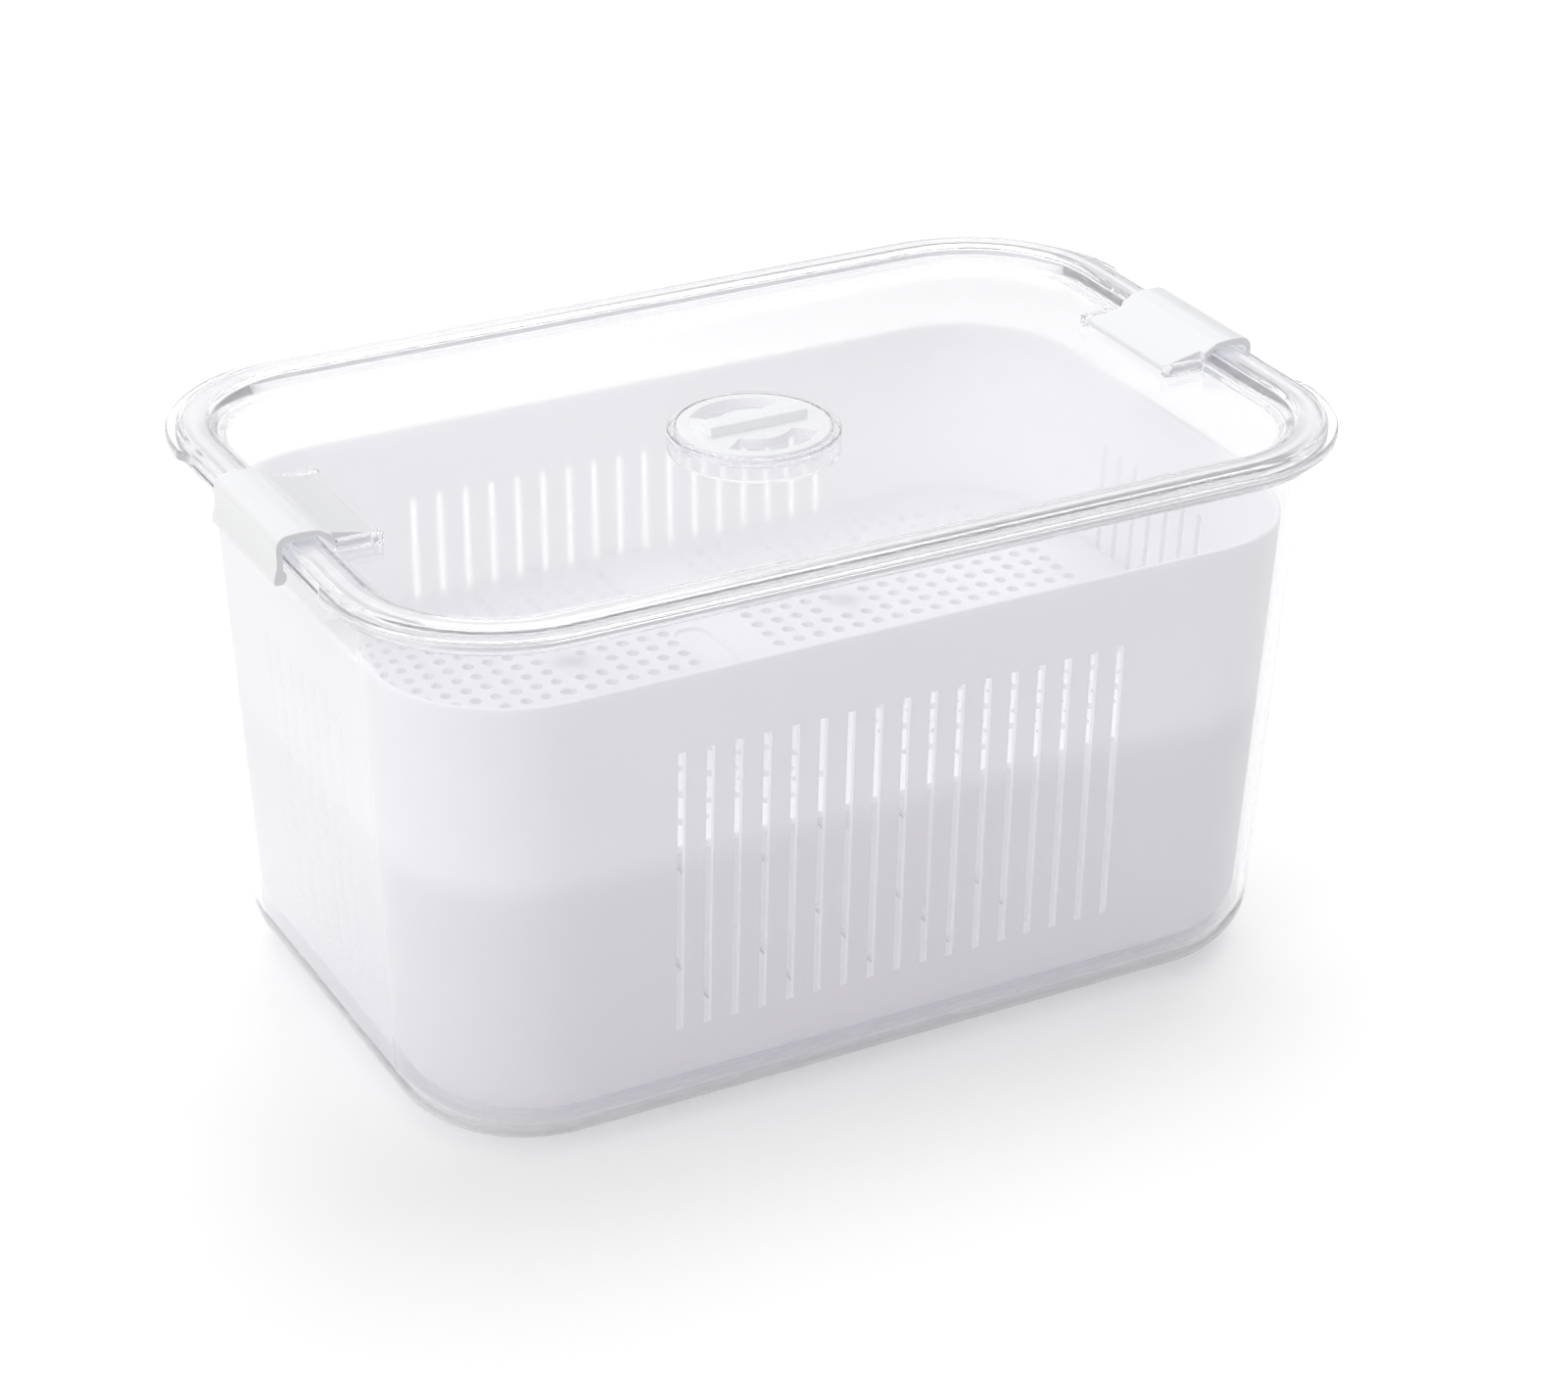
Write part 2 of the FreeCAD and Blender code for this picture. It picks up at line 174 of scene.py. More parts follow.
def vary(material, source, socket, low, high):
    """Spreads a noise over a range of values and feeds it to a shader socket."""
    spread = material.node_tree.nodes.new("ShaderNodeMapRange")
    spread.inputs["From Min"].default_value = noise_low
    spread.inputs["From Max"].default_value = noise_high
    spread.inputs["To Min"].default_value = low
    spread.inputs["To Max"].default_value = high
    material.node_tree.links.new(source, spread.inputs["Value"])
    material.node_tree.links.new(spread.outputs["Result"], socket)


def add_bump(material, source, depth, strength, socket):
    """Raises a surface by a noise, with the depth in metres."""
    bump = material.node_tree.nodes.new("ShaderNodeBump")
    bump.inputs["Distance"].default_value = depth
    bump.inputs["Strength"].default_value = strength
    material.node_tree.links.new(source, bump.inputs["Height"])
    material.node_tree.links.new(bump.outputs["Normal"], socket)


def clear_plastic(name, clearness, haze_low, haze_high, ripple):
    """Clear plastic: polished, faintly rippled by the mould, hazed by handling, tinted where thick."""
    material = bpy.data.materials.new(name)
    material.use_nodes = True
    nodes = material.node_tree.nodes
    links = material.node_tree.links
    body = nodes["Principled BSDF"]
    body.inputs["Base Color"].default_value = clear_tint
    body.inputs["IOR"].default_value = clear_bending
    body.inputs["Transmission Weight"].default_value = clearness
    handling = add_noise(material, handling_scale, handling_detail)
    vary(material, handling, body.inputs["Roughness"], haze_low, haze_high)
    waves = add_noise(material, ripple_scale, ripple_detail)
    add_bump(material, waves, ripple, ripple_strength, body.inputs["Normal"])
    passing = nodes.new("ShaderNodeBsdfTransparent")
    passing.inputs["Color"].default_value = clear_tint
    path = nodes.new("ShaderNodeLightPath")
    either = nodes.new("ShaderNodeMath")
    either.operation = "MAXIMUM"
    links.new(path.outputs["Is Shadow Ray"], either.inputs[0])
    links.new(path.outputs["Is Diffuse Ray"], either.inputs[1])
    mix = nodes.new("ShaderNodeMixShader")
    links.new(either.outputs[0], mix.inputs["Fac"])
    links.new(body.outputs["BSDF"], mix.inputs[1])
    links.new(passing.outputs["BSDF"], mix.inputs[2])
    links.new(mix.outputs["Shader"], nodes["Material Output"].inputs["Surface"])
    inside = nodes.new("ShaderNodeVolumeAbsorption")
    inside.inputs["Color"].default_value = thick_tint
    inside.inputs["Density"].default_value = depth_density
    links.new(inside.outputs["Volume"], nodes["Material Output"].inputs["Volume"])
    return material


touching = 0.0001 * mm
sharp_angle = math.radians(35)
flat_face_weight = 100
noise_low, noise_high = 0.3, 0.7
handling_scale, handling_detail = 160, 4
ripple_scale, ripple_detail = 28, 1
ripple_strength = 0.1
clear_bending = 1.5
clear_tint = (0.985, 0.986, 0.994, 1)
thick_tint = (0.72, 0.71, 0.78, 1)
depth_density = 8
under_flange = bin_height - flange_thickness
bin_outline = eased([
    (-base_flat_start, 0, 0),
    (0, 0, base_rounding),
    (0, under_flange, flange_easing),
    (flange_reach, under_flange, flange_easing),
    (flange_reach, bin_height, flange_easing),
    (-bin_wall, bin_height, flange_easing),
    (-bin_wall, bin_floor, base_rounding - bin_wall),
    (-base_flat_start, bin_floor, 0),
], steps=8)
bin_stops = stops_round()
bin_mesh = bmesh.new()
bin_rows = skin(bin_mesh, [
    [wall_point(stop, level, across, across) for stop in bin_stops]
    for across, level in bin_outline
])
flat_sheet(bin_mesh, bin_rows[0])
flat_sheet(bin_mesh, bin_rows[-1])
bin_haze = (0.01, 0.04)
mould_ripple = 0.1 * mm
bin_clearness = 0.985
satin_clearness = 0.25
bin_plastic = clear_plastic("clear bin plastic", bin_clearness, *bin_haze, mould_ripple)
bin_nodes = bin_plastic.node_tree.nodes
bin_links = bin_plastic.node_tree.links
bin_place = bin_nodes.new("ShaderNodeTexCoord")
bin_level = bin_nodes.new("ShaderNodeSeparateXYZ")
bin_links.new(bin_place.outputs["Object"], bin_level.inputs["Vector"])
satin_fade = bin_nodes.new("ShaderNodeMapRange")
satin_fade.inputs["From Min"].default_value = bin_floor
satin_fade.inputs["From Max"].default_value = base_rounding
satin_fade.inputs["To Min"].default_value = satin_clearness
satin_fade.inputs["To Max"].default_value = bin_clearness
bin_links.new(bin_level.outputs["Z"], satin_fade.inputs["Value"])
bin_links.new(satin_fade.outputs["Result"], bin_nodes["Principled BSDF"].inputs["Transmission Weight"])
clear_bin = make_piece("clear_bin", bin_mesh, bin_plastic)
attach(clear_bin, "bin")
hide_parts("outer_bin")

# Drain basket
# White moulded basket that stands on four feet in the bin and lifts out with the washed food.
# Its thin wall lets some light through, and combs of narrow slits drain all four sides.
basket_low, basket_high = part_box("drain_basket")
basket_foot_height = 4.9 * mm
basket_foot_size = 9.0 * mm
basket_foot_places = [(x * mm, y * mm) for x in (-70, 70) for y in (-40, 40)]
basket_base = basket_low.z + basket_foot_height
basket_rim = basket_high.z
basket_end_inset = 4.2 * mm
basket_side_inset = 2.65 * mm
basket_wall = 1.4 * mm
basket_floor = 1.8 * mm
basket_rounding = 12.0 * mm
basket_flat_start = 20.0 * mm
rim_easing = 0.6 * mm
slit_width = 2.1 * mm
slit_pitch = 7.67 * mm
slit_foot = basket_base + 19.4 * mm
slit_head = basket_rim - 20.5 * mm
slot_length = 34.0 * mm
slot_pitch = 23.0 * mm
slot_row = 30.0 * mm
slot_places = [(x * slot_pitch, y * slot_row) for x in (-2.5, -1.5, -0.5, 0.5, 1.5, 2.5) for y in (-1, 1)]
long_side_slits = 17
short_side_slits = 7
basket_colour = (0.975, 0.97, 0.978, 1)
basket_roughness = (0.38, 0.55)
basket_grain = 0.05 * mm
basket_passing = 0.5
white_bending = 1.49
cloud_scale, cloud_detail = 18, 2
cloud_shade = 0.98
grain_scale, grain_detail = 900, 3
grain_strength = 0.25


def slit_places(count):
    """Places along a side of both edges of each of its slits."""
    first = -(count - 1) / 2 * slit_pitch
    return [first + i * slit_pitch + edge * slit_width / 2 for i in range(count) for edge in (-1, 1)]


def basket_loop(across, level):
    """Points round the basket, an offset outside its outer face."""
    return [wall_point(stop, level, across - basket_end_inset, across - basket_side_inset)
            for stop in basket_stops]


def block(mesh, low, high, easing):
    """Closed block between two corners, with its edges eased."""
    made = bmesh.ops.create_cube(mesh, size=1)["verts"]
    for vertex in made:
        share = vertex.co + Vector((0.5, 0.5, 0.5))
        vertex.co = Vector(low) + share * (Vector(high) - Vector(low))
    edges = {edge for vertex in made for edge in vertex.link_edges}
    eased_faces = bmesh.ops.bevel(mesh, geom=list(edges), offset=easing, segments=3,
                                  profile=0.5, affect="EDGES")
    for face in eased_faces["faces"]:
        face.smooth = True


def moulded_white(name, colour, rough_low, rough_high, grain, passing_share):
    """White moulded plastic with a fine matt grain, which lets a share of the light through."""
    material = bpy.data.materials.new(name)
    material.use_nodes = True
    nodes = material.node_tree.nodes
    links = material.node_tree.links
    body = nodes["Principled BSDF"]
    body.inputs["IOR"].default_value = white_bending
    passing = nodes.new("ShaderNodeBsdfTranslucent")
    cloud = add_noise(material, cloud_scale, cloud_detail)
    tone = nodes.new("ShaderNodeMix")
    tone.data_type = "RGBA"
    tone.inputs["A"].default_value = colour
    tone.inputs["B"].default_value = [cloud_shade * part for part in colour[:3]] + [1]
    links.new(cloud, tone.inputs["Factor"])
    links.new(tone.outputs["Result"], body.inputs["Base Color"])
    links.new(tone.outputs["Result"], passing.inputs["Color"])
    fine = add_noise(material, grain_scale, grain_detail)
    vary(material, fine, body.inputs["Roughness"], rough_low, rough_high)
    add_bump(material, fine, grain, grain_strength, body.inputs["Normal"])
    mix = nodes.new("ShaderNodeMixShader")
    mix.inputs["Fac"].default_value = passing_share
    links.new(body.outputs["BSDF"], mix.inputs[1])
    links.new(passing.outputs["BSDF"], mix.inputs[2])
    links.new(mix.outputs["Shader"], nodes["Material Output"].inputs["Surface"])
    return material


basket_stops = stops_round(slit_places(long_side_slits), slit_places(short_side_slits))
slit_edges = [i for i, (side, place, turn) in enumerate(basket_stops) if place is not None]
slit_far_edges = slit_edges[1::2]
basket_floor_top = basket_base + basket_floor
rounding_top = basket_base + basket_rounding + basket_floor
basket_mesh = bmesh.new()
outside_rows = skin(basket_mesh, [basket_loop(across, level) for across, level in eased([
    (-basket_flat_start, basket_base, 0),
    (0, basket_base, basket_rounding),
    (0, rounding_top, 0),
    (0, slit_foot, 0),
], steps=8)])
rim_rows = skin(basket_mesh, [basket_loop(across, level) for across, level in eased([
    (0, slit_head, 0),
    (0, basket_rim - basket_wall, 0),
    (0, basket_rim, rim_easing),
    (-basket_wall, basket_rim, rim_easing),
    (-basket_wall, basket_rim - basket_wall, 0),
    (-basket_wall, slit_head, 0),
])])
inside_rows = skin(basket_mesh, [basket_loop(across, level) for across, level in eased([
    (-basket_wall, slit_foot, 0),
    (-basket_wall, rounding_top, 0),
    (-basket_wall, basket_floor_top, basket_rounding - basket_wall),
    (-basket_flat_start, basket_floor_top, 0),
], steps=8)])
out_foot, out_head, in_head, in_foot = outside_rows[-1], rim_rows[0], rim_rows[-1], inside_rows[0]
for i in range(len(basket_stops)):
    if i in slit_far_edges:
        basket_mesh.faces.new((out_head[i - 1], out_head[i], in_head[i], in_head[i - 1]))
        basket_mesh.faces.new((out_foot[i], out_foot[i - 1], in_foot[i - 1], in_foot[i]))
    else:
        basket_mesh.faces.new((out_foot[i - 1], out_foot[i], out_head[i], out_head[i - 1])).smooth = True
        basket_mesh.faces.new((in_head[i - 1], in_head[i], in_foot[i], in_foot[i - 1])).smooth = True
    if i in slit_edges:
        basket_mesh.faces.new((out_foot[i], out_head[i], in_head[i], in_foot[i]))
slot_rows = []
for x, y in slot_places:
    slot_ends = [(x - slit_width / 2, y - slot_length / 2), (x + slit_width / 2, y - slot_length / 2),
                 (x + slit_width / 2, y + slot_length / 2), (x - slit_width / 2, y + slot_length / 2)]
    slot_rows.append(skin(basket_mesh, [[(u, v, level) for u, v in slot_ends]
                                        for level in (basket_base, basket_floor_top)], smooth=False))
flat_sheet(basket_mesh, outside_rows[0], [rows[0] for rows in slot_rows])
flat_sheet(basket_mesh, inside_rows[-1], [rows[1] for rows in slot_rows])
for x, y in basket_foot_places:
    reach = basket_foot_size / 2
    block(basket_mesh, (x - reach, y - reach, basket_low.z),
          (x + reach, y + reach, basket_base + rim_easing), rim_easing)
basket_white = moulded_white("white basket plastic", basket_colour, *basket_roughness,
                             basket_grain, basket_passing)
white_basket = make_piece("white_basket", basket_mesh, basket_white)
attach(white_basket, "basket")
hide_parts("drain_basket")

# Drain plate
# Flat white shelf inside the basket, punched with two fields of small round holes.
# It rests on four legs and keeps the food clear of the drips; a shallow grip crosses its middle.
plate_low, plate_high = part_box("drain_plate")
plate_corner = 30.8 * mm
plate_easing = 0.4 * mm
hole_radius = 1.75 * mm
hole_sides = 12
hole_pitch_x = 6.0 * mm
hole_pitch_y = 6.2 * mm
hole_columns = 16
hole_rows = 22
first_column = 12.6 * mm
field_corner = 20.0 * mm
leg_places = (40.5 * mm, 24.0 * mm)
leg_clear_radius = 5.5 * mm
grip_place = Vector((-5.8 * mm, 0, 0))
grip_half_long = 28.5 * mm
grip_half_short = 4.8 * mm
grip_corner = 4.6 * mm
grip_depth = 0.8 * mm
plate_colour = (0.975, 0.972, 0.978, 1)
plate_roughness = (0.4, 0.58)
plate_grain = 0.05 * mm
plate_passing = 0.35


def ring_points(centre_x, centre_y, radius, level, sides):
    """Points round a circle at one level."""
    turns = [2 * math.pi * i / sides for i in range(sides)]
    return [(centre_x + radius * math.cos(t), centre_y + radius * math.sin(t), level) for t in turns]


def hole_places():
    """Centres of the drain holes, with the fields' corners rounded and the legs' places left blank."""
    reach_x = first_column + (hole_columns - 1) * hole_pitch_x
    reach_y = (hole_rows - 1) / 2 * hole_pitch_y
    places = []
    for column in range(hole_columns):
        x = first_column + column * hole_pitch_x
        for row in range(hole_rows):
            y = row * hole_pitch_y - reach_y
            over_x = max(x - reach_x + field_corner, 0)
            over_y = max(abs(y) - reach_y + field_corner, 0)
            from_leg = math.hypot(x - leg_places[0], abs(y) - leg_places[1])
            if math.hypot(over_x, over_y) <= field_corner and from_leg > leg_clear_radius:
                places += [(x, y), (-x, y)]
    return places


plate_mesh = bmesh.new()
plate_outline = eased([
    (-plate_easing * 2, plate_low.z, 0),
    (0, plate_low.z, plate_easing),
    (0, plate_high.z, plate_easing),
    (-plate_easing * 2, plate_high.z, 0),
], steps=3)
plate_rows = skin(plate_mesh, [
    [stop_point(stop, plate_high.x + across, plate_high.y + across, plate_corner + across, level)
     for stop in bin_stops]
    for across, level in plate_outline
])
hole_rows_made = [skin(plate_mesh, [ring_points(x, y, hole_radius, level, hole_sides)
                                    for level in (plate_low.z, plate_high.z)])
                  for x, y in hole_places()]
grip_rows = skin(plate_mesh, [
    [grip_place + stop_point(stop, grip_half_short + across, grip_half_long + across,
                             grip_corner + across, level)
     for stop in bin_stops]
    for across, level in ((0, plate_high.z), (-grip_depth / 2, plate_high.z - grip_depth))
], smooth=False)
flat_sheet(plate_mesh, plate_rows[0], [rows[0] for rows in hole_rows_made])
flat_sheet(plate_mesh, plate_rows[-1], [grip_rows[0]] + [rows[1] for rows in hole_rows_made])
flat_sheet(plate_mesh, grip_rows[-1])
plate_white = moulded_white("white plate plastic", plate_colour, *plate_roughness,
                            plate_grain, plate_passing)
white_plate = make_piece("white_plate", plate_mesh, plate_white)
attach(white_plate, "plate")
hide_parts("drain_plate")

# Plate legs
# Four cross-ribbed legs moulded under the drain plate, which stand on the basket's floor.
# They are kept as built, with their sharp edges broken.
leg_edge_width = 0.3 * mm
leg_edge_steps = 2
plate_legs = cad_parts["plate_legs"]
plate_legs.data.materials.clear()
plate_legs.data.materials.append(plate_white)
leg_edges = plate_legs.modifiers.new("broken_edges", "BEVEL")
leg_edges.width = leg_edge_width
leg_edges.segments = leg_edge_steps

# Lid
# Clear moulded lid: a sunk panel inside a domed bead, with a plug that drops inside the mouth,
# a groove for the seal, an outer band that stops short at the clips, and a round well for the vent.
lid_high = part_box("lid")[1]
groove_top = bin_height + 2.3 * mm
bead_top = groove_top + 2.4 * mm
panel_top = bin_height - 0.3 * mm
panel_under = panel_top - 2.0 * mm
band_under = bin_height + 0.3 * mm
band_top = band_under + 2.5 * mm
plug_face = -2.6 * mm
groove_face = 3.2 * mm
bead_face = 5.0 * mm
band_face = lid_high.x - mouth_half_long
slope_foot = -7.1 * mm
panel_start = -12.0 * mm
notch_half = 40.5 * mm
notch_flare = 5.0 * mm
notch_ledge = 0.15 * mm
well_radius = 20.2 * mm
well_outer_radius = 22.3 * mm
well_top = panel_top + 0.6 * mm
well_bed = panel_top - 1.9 * mm
well_under = well_bed - 1.7 * mm
skirt_under = well_under - 3.4 * mm
well_easing = 0.4 * mm
well_sides = 96
window_inner_radius = 10.0 * mm
window_outer_radius = 16.7 * mm
window_angle = math.radians(66)
stem_bore = 4.08 * mm
window_steps = 12
slope_easing = 1.2 * mm
bead_start = -2.9 * mm
bead_start_drop = 0.5 * mm
bead_start_easing = 2.4 * mm
crown_across = 1.2 * mm
crown_easing = 9.0 * mm
bead_edge_drop = 0.7 * mm
bead_edge_easing = 1.2 * mm
band_root_easing = 0.3 * mm
band_top_easing = 0.7 * mm
band_under_easing = 0.5 * mm
groove_easing = 0.4 * mm
plug_easing = 0.8 * mm
lid_clearness = 0.95
lid_haze = (0.03, 0.08)


def lid_point(stop, across, level):
    """Point of the lid's edge, an offset outside the mouth, drawn in where the clips pass."""
    side, place, turn = stop
    if side % 2 and place is not None and abs(place) < notch_half + notch_flare / 2:
        across = min(across, bead_face + notch_ledge)
    return stop_point(stop, mouth_half_long + across, mouth_half_short + across,
                      mouth_corner + across, level)


def sector_points(inner_radius, outer_radius, middle, angle, level):
    """Points round a window shaped as part of a ring."""
    turns = [middle - angle / 2 + angle * i / window_steps for i in range(window_steps + 1)]
    outer = [(outer_radius * math.cos(t), outer_radius * math.sin(t), level) for t in turns]
    inner = [(inner_radius * math.cos(t), inner_radius * math.sin(t), level) for t in reversed(turns)]
    return outer + inner


notch_ends = [-notch_half - notch_flare, -notch_half, notch_half, notch_half + notch_flare]
lid_stops = stops_round((), notch_ends)
lid_outline = eased([
    (panel_start, panel_top, 0),
    (slope_foot, panel_top, slope_easing),
    (bead_start, bead_top - bead_start_drop, bead_start_easing),
    (crown_across, bead_top, crown_easing),
    (bead_face, bead_top - bead_edge_drop, bead_edge_easing),
    (bead_face, band_top, band_root_easing),
    (band_face, band_top, band_top_easing),
    (band_face, band_under, band_under_easing),
    (groove_face, band_under, band_root_easing),
    (groove_face, groove_top, groove_easing),
    (plug_face, groove_top, groove_easing),
    (plug_face, panel_under, plug_easing),
    (panel_start, panel_under, 0),
])
lid_mesh = bmesh.new()
lid_rows = skin(lid_mesh, [[lid_point(stop, across, level) for stop in lid_stops]
                           for across, level in lid_outline])
well_outline = eased([
    (well_outer_radius, panel_top, 0),
    (well_outer_radius, well_top, well_easing),
    (well_radius, well_top, well_easing),
    (well_radius, well_bed, well_easing),
    (well_radius - 2 * well_easing, well_bed, 0),
], steps=4)
well_rows = skin(lid_mesh, [ring_points(0, 0, radius, level, well_sides)
                            for radius, level in well_outline])
foot_outline = eased([
    (well_radius, well_under, 0),
    (well_radius, skirt_under, well_easing),
    (well_outer_radius, skirt_under, well_easing),
    (well_outer_radius, panel_under, 0),
], steps=4)
foot_rows = skin(lid_mesh, [ring_points(0, 0, radius, level, well_sides)
                            for radius, level in foot_outline])
through = [skin(lid_mesh, [ring_points(0, 0, stem_bore, level, well_sides // 2)
                           for level in (well_bed, well_under)])]
for middle in (0, math.pi):
    through.append(skin(lid_mesh, [
        sector_points(window_inner_radius, window_outer_radius, middle, window_angle, level)
        for level in (well_bed, well_under)
    ], smooth=False))
flat_sheet(lid_mesh, lid_rows[0], [well_rows[0]])
flat_sheet(lid_mesh, lid_rows[-1], [foot_rows[-1]])
flat_sheet(lid_mesh, well_rows[-1], [rows[0] for rows in through])
flat_sheet(lid_mesh, foot_rows[0], [rows[1] for rows in through])
lid_plastic = clear_plastic("clear lid plastic", lid_clearness, *lid_haze, mould_ripple)
clear_lid = make_piece("clear_lid", lid_mesh, lid_plastic)
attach(clear_lid, "lid")
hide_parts("lid")

# Clip lugs
# Low clear ears on the panel, moulded with the lid, one at each end of both clips' hinge plates.
# The pins of the clips run in them.
hinge_x = 112.7 * mm
hinge_level = panel_top + 1.25 * mm
lug_start = hinge_x - 2.0 * mm
lug_end = mouth_half_long + slope_foot
lug_top = panel_top + 3.0 * mm
lug_gap = 18.6 * mm
lug_thickness = 2.6 * mm
lug_easing = 0.5 * mm
lug_mesh = bmesh.new()
for end in (-1, 1):
    for front in (-lug_gap - lug_thickness, lug_gap):
        low_x, high_x = sorted((end * lug_start, end * lug_end))
        block(lug_mesh, (low_x, front, panel_top + touching),
              (high_x, front + lug_thickness, lug_top), lug_easing)
clear_lugs = make_piece("clear_lugs", lug_mesh, lid_plastic)
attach(clear_lugs, "lid")

# Lid seal
# Soft ring of milky silicone that lies in the groove under the bead and presses on the bin's flange.
# It is moulded in one piece, with rounded edges and a satin face.
seal_low, seal_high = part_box("lid_seal")
seal_gap = 0.25 * mm
seal_inner = plug_face + seal_gap
seal_outer = seal_high.x - mouth_half_long
seal_easing = 0.6 * mm
seal_clearness = 0.5
seal_haze = (0.15, 0.25)
seal_ripple = 0.3 * mm
seal_mesh = bmesh.new()
seal_outline = eased([
    (seal_inner, seal_low.z, seal_easing),
    (seal_outer, seal_low.z, seal_easing),
    (seal_outer, seal_high.z, seal_easing),
    (seal_inner, seal_high.z, seal_easing),
], closed=True)
skin(seal_mesh, [
    [stop_point(stop, mouth_half_long + across, mouth_half_short + across,
                mouth_corner + across, level)
     for stop in bin_stops]
    for across, level in seal_outline
])
seal_silicone = clear_plastic("milky silicone", seal_clearness, *seal_haze, seal_ripple)
clear_seal = make_piece("clear_seal", seal_mesh, seal_silicone)
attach(clear_seal, "lid")
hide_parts("lid_seal")

# Side clips
# Two white clips, one at each end: a flat plate hinged on the lugs climbs the bead, turns over it
# and hooks under the flange of the bin with a small nib; glossy white plastic.
clip_gap = 0.35 * mm
clip_wall = 1.7 * mm
clip_plate_half = 18.3 * mm
clip_arch_half = 20.2 * mm
knuckle_radius = 0.9 * mm
trunnion_radius = 0.75 * mm
trunnion_end = 20.3 * mm
trunnion_sides = 24
clip_low, clip_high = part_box("right_clip")
clip_edge = 0.35 * mm
clip_edge_steps = 3
clip_edge_angle = math.radians(50)
clip_room = 1.2 * mm
clip_inside = bead_face + clip_room
clip_outside = clip_inside + clip_wall
clip_tip_out = clip_high.x - mouth_half_long
clip_tip = clip_low.z
nib_gap = 0.15 * mm
nib_face = flange_reach + nib_gap
nib_drop = 0.6 * mm
nib_top = under_flange - nib_drop
nib_lead = 0.6 * mm
nib_height = 2.0 * mm
nib_easing = 0.2 * mm
hinge_across = hinge_x - mouth_half_long
arch_start = slope_foot + clip_gap
clip_crown = clip_high.z
step_rise = 1.6 * mm
plate_rise = 2.4 * mm
knuckle_easing = 0.6 * mm
step_easing = 0.8 * mm
arch_under_start = -3.2 * mm
arch_over_start = -3.0 * mm
arch_drop = 0.4 * mm
arch_under_easing = 1.4 * mm
arch_over_easing = 2.0 * mm
crown_under_easing = 8.0 * mm
crown_over_easing = 12.0 * mm
shoulder_drop = 0.9 * mm
shoulder_under_easing = 1.2 * mm
shoulder_over_easing = 3.2 * mm
tip_inner_easing = 0.3 * mm
tip_easing = 0.6 * mm
tip_height = 1.6 * mm
tip_top_easing = 0.8 * mm
flick_height = 4.8 * mm
flick_easing = 3.0 * mm
clip_colour = (0.98, 0.983, 0.986, 1)
clip_roughness = (0.16, 0.26)
clip_grain = 0.02 * mm
clip_passing = 0.2


def clip_part(corners):
    """Outline of one part of a clip, as points across and up."""
    return [tuple(point) for point in eased(corners, steps=4)]


def clip_mesh(end):
    """One clip, at the right end or mirrored at the left."""
    under_step = (arch_start, panel_top + clip_gap + step_rise)
    over_step = (arch_start, hinge_level + knuckle_radius + plate_rise)
    bead_clear = bead_top + clip_gap
    plate_part = [over_step] + clip_part([
        (arch_start, over_step[1], 0),
        (hinge_across - knuckle_radius, hinge_level + knuckle_radius, knuckle_easing),
        (hinge_across - knuckle_radius, panel_top + clip_gap, knuckle_easing),
        (slope_foot - clip_gap, panel_top + clip_gap, step_easing),
        (arch_start, under_step[1], 0),
    ])[1:]
    arch_part = clip_part([
        (arch_start, under_step[1], 0),
        (arch_under_start, bead_clear - arch_drop, arch_under_easing),
        (crown_across, bead_clear, crown_under_easing),
        (clip_inside, bead_clear - shoulder_drop, shoulder_under_easing),
        (clip_inside, nib_top, nib_easing),
        (nib_face, nib_top - nib_lead, nib_easing),
        (nib_face, nib_top - nib_height, nib_easing),
        (clip_inside, clip_tip, tip_inner_easing),
        (clip_tip_out, clip_tip, tip_easing),
        (clip_tip_out, clip_tip + tip_height, tip_top_easing),
        (clip_outside, clip_tip + flick_height, flick_easing),
        (clip_outside, clip_crown - arch_drop, shoulder_over_easing),
        (crown_across, clip_crown, crown_over_easing),
        (arch_over_start, clip_crown - arch_drop, arch_over_easing),
        (arch_start, over_step[1], 0),
    ])
    mesh = bmesh.new()
    columns = (-clip_arch_half, -clip_plate_half, clip_plate_half, clip_arch_half)

    def strip(outline, first, last):
        rows = [[mesh.verts.new((end * (mouth_half_long + across), y, level))
                 for across, level in outline]
                for y in columns[first:last + 1]]
        for low, high in zip(rows, rows[1:]):
            for i in range(1, len(low)):
                mesh.faces.new((low[i - 1], low[i], high[i], high[i - 1])).smooth = True
        return rows

    plate_rows = strip(plate_part, 1, 2)
    arch_rows = strip(arch_part, 0, 3)
    for row in plate_rows + [arch_rows[0], arch_rows[-1]]:
        mesh.faces.new(row)
    for outer, inner in ((arch_rows[0], arch_rows[1]), (arch_rows[3], arch_rows[2])):
        mesh.faces.new((outer[0], outer[-1], inner[-1], inner[0]))
    return mesh


def turned_pin(mesh, centre, radius, half_length):
    """Closed pin along Y."""
    place = Matrix.Translation(centre) @ Matrix.Rotation(quarter_turn, 4, "X")
    bmesh.ops.create_cone(mesh, cap_ends=True, segments=trunnion_sides, radius1=radius, radius2=radius,
                          depth=2 * half_length, matrix=place)


clip_white = moulded_white("white clip plastic", clip_colour, *clip_roughness, clip_grain, clip_passing)
for side_name, end in (("left", -1), ("right", 1)):
    mesh = clip_mesh(end)
    turned_pin(mesh, Vector((end * hinge_x, 0, hinge_level)), trunnion_radius, trunnion_end)
    clip = make_piece("white_clip_" + side_name, mesh, clip_white)
    edges = clip.modifiers.new("broken_edges", "BEVEL")
    edges.width = clip_edge
    edges.segments = clip_edge_steps
    edges.angle_limit = clip_edge_angle
    clip.modifiers.move(1, 0)
    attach(clip, side_name + "_clip")
    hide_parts(side_name + "_clip")

